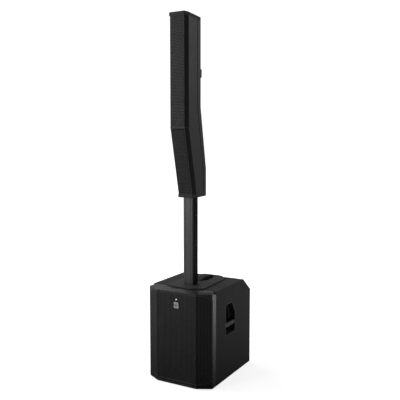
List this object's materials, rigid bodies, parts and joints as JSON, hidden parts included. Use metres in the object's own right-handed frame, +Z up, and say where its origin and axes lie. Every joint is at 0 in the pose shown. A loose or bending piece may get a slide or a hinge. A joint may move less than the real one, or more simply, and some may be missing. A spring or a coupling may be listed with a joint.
{
  "type": "column pa system",
  "caption": "Powered column loudspeaker: floor-standing subwoofer box with a rectangular pole in its top carrying a slim, slightly bent column of small drivers.",
  "frame": {"origin": "floor level, under the middle of the subwoofer's footprint", "axes": "+Z up, -Y out of the front grille, +X towards the viewer's right when the front is faced"},
  "size_m": [0.333, 0.434, 1.661],
  "materials": {
    "cabinet_paint": "black textured paint on plywood",
    "board": "raw plywood",
    "frame_plastic": "moulded black, fine grain",
    "grille_steel": "perforated steel, black powder coat",
    "badge_silver": "light satin",
    "led": "clear lens, lit white",
    "cone_paper": "pulp cone, black",
    "steel_dark": "dark plated steel",
    "basket_steel": "black stamped steel",
    "surround_rubber": "rubber",
    "plate_plastic": "moulded black, soft grain",
    "cup_plastic": "moulded black",
    "grip_rubber": "moulded grip",
    "foot_rubber": "rubber",
    "panel_paint": "black anodised sheet",
    "fins": "black anodised extrusion",
    "circuit": "circuit board with components",
    "socket_plastic": "black nylon",
    "contact": "plated contacts",
    "knob_plastic": "soft-touch black",
    "switch_red": "black rocker",
    "window": "dark window",
    "screw": "black oxide steel",
    "pole_alu": "black anodised extrusion",
    "loom": "insulated wires",
    "column_alu": "black powder-coated extrusion",
    "trim": "satin trim"
  },
  "bodies": {
    "subwoofer": {"sub_cabinet": "cabinet_paint", "cabinet_brace": "board", "sub_baffle": "cabinet_paint", "front_fascia": "frame_plastic", "sub_grille": "grille_steel", "grille_badge": "badge_silver", "front_led": "led", "woofer_basket": "basket_steel", "woofer_magnet": "steel_dark", "woofer_surround": "surround_rubber", "woofer_screws": "screw", "port_tubes": "cup_plastic", "top_plate": "plate_plastic", "grip_cup": "cup_plastic", "top_grip": "grip_rubber", "pole_socket": "cup_plastic", "socket_connector": "socket_plastic", "handle_cup_right": "cup_plastic", "handle_cup_left": "cup_plastic", "rubber_feet": "foot_rubber", "amp_bezel": "frame_plastic", "amp_panel": "panel_paint", "heat_sink": "fins", "amp_board": "circuit", "power_supply": "circuit", "mains_inlet": "socket_plastic", "switch_housing": "socket_plastic", "combo_jacks": "socket_plastic", "link_jack": "socket_plastic", "aux_jacks": "contact", "display_window": "window", "panel_screws": "screw"},
    "woofer_moving": {"woofer_cone": "cone_paper"},
    "power_switch": {"power_rocker": "switch_red"},
    "level_1": {"level_knob_1": "knob_plastic"},
    "level_2": {"level_knob_2": "knob_plastic"},
    "level_3": {"level_knob_3": "knob_plastic"},
    "level_4": {"level_knob_4": "knob_plastic"},
    "encoder": {"encoder_knob": "knob_plastic"},
    "button": {"select_button": "knob_plastic"},
    "pole": {"pole_tube": "pole_alu", "pole_foot": "socket_plastic", "pole_head": "socket_plastic", "pole_harness": "loom"},
    "column": {"array_housing": "column_alu", "array_rear_cover": "column_alu", "array_top_cap": "frame_plastic", "array_bottom_cap": "frame_plastic", "array_socket": "socket_plastic", "upper_grille": "grille_steel", "lower_grille": "grille_steel", "bend_trim": "trim", "rear_bracket": "frame_plastic", "cover_screws": "screw", "array_baffle": "frame_plastic", "driver_baskets": "basket_steel", "driver_magnets": "steel_dark", "driver_surrounds": "surround_rubber"},
    "upper_drivers": {"upper_cones": "cone_paper"},
    "lower_drivers": {"lower_cones": "cone_paper"}
  },
  "joints": [
    {"name": "woofer_travel", "type": "slide", "parent": "subwoofer", "child": "woofer_moving", "axis": [0, -1, 0], "range_m": [-0.006, 0.006], "stiffness_N_per_m": 4000},
    {"name": "power_rock", "type": "hinge", "parent": "subwoofer", "child": "power_switch", "pos_m": [-0.022, 0.196, 0.188], "axis": [1, 0, 0], "range_deg": [0, 20]},
    {"name": "level_1_turn", "type": "hinge", "parent": "subwoofer", "child": "level_1", "pos_m": [-0.084, 0.197, 0.304], "axis": [0, 1, 0], "range_deg": [-150, 150]},
    {"name": "level_2_turn", "type": "hinge", "parent": "subwoofer", "child": "level_2", "pos_m": [-0.046, 0.197, 0.304], "axis": [0, 1, 0], "range_deg": [-150, 150]},
    {"name": "level_3_turn", "type": "hinge", "parent": "subwoofer", "child": "level_3", "pos_m": [-0.008, 0.197, 0.304], "axis": [0, 1, 0], "range_deg": [-150, 150]},
    {"name": "level_4_turn", "type": "hinge", "parent": "subwoofer", "child": "level_4", "pos_m": [0.03, 0.197, 0.304], "axis": [0, 1, 0], "range_deg": [-150, 150]},
    {"name": "encoder_turn", "type": "hinge", "parent": "subwoofer", "child": "encoder", "pos_m": [0.082, 0.197, 0.262], "axis": [0, 1, 0], "continuous": true},
    {"name": "button_press", "type": "slide", "parent": "subwoofer", "child": "button", "axis": [0, -1, 0], "range_m": [0, 0.0015], "stiffness_N_per_m": 500},
    {"name": "pole_lift", "type": "slide", "parent": "subwoofer", "child": "pole", "axis": [0, 0, 1], "range_m": [0, 0.1]},
    {"name": "column_lift", "type": "slide", "parent": "pole", "child": "column", "axis": [0, 0, 1], "range_m": [0, 0.08]},
    {"name": "upper_travel", "type": "slide", "parent": "column", "child": "upper_drivers", "axis": [0, -1, 0], "range_m": [-0.002, 0.002], "stiffness_N_per_m": 3000},
    {"name": "lower_travel", "type": "slide", "parent": "column", "child": "lower_drivers", "axis": [0, -0.9752, -0.2212], "range_m": [-0.002, 0.002], "stiffness_N_per_m": 3000}
  ],
  "couplings": [
    {"joint": "lower_travel", "follows": "upper_travel", "ratio": 1}
  ]
}
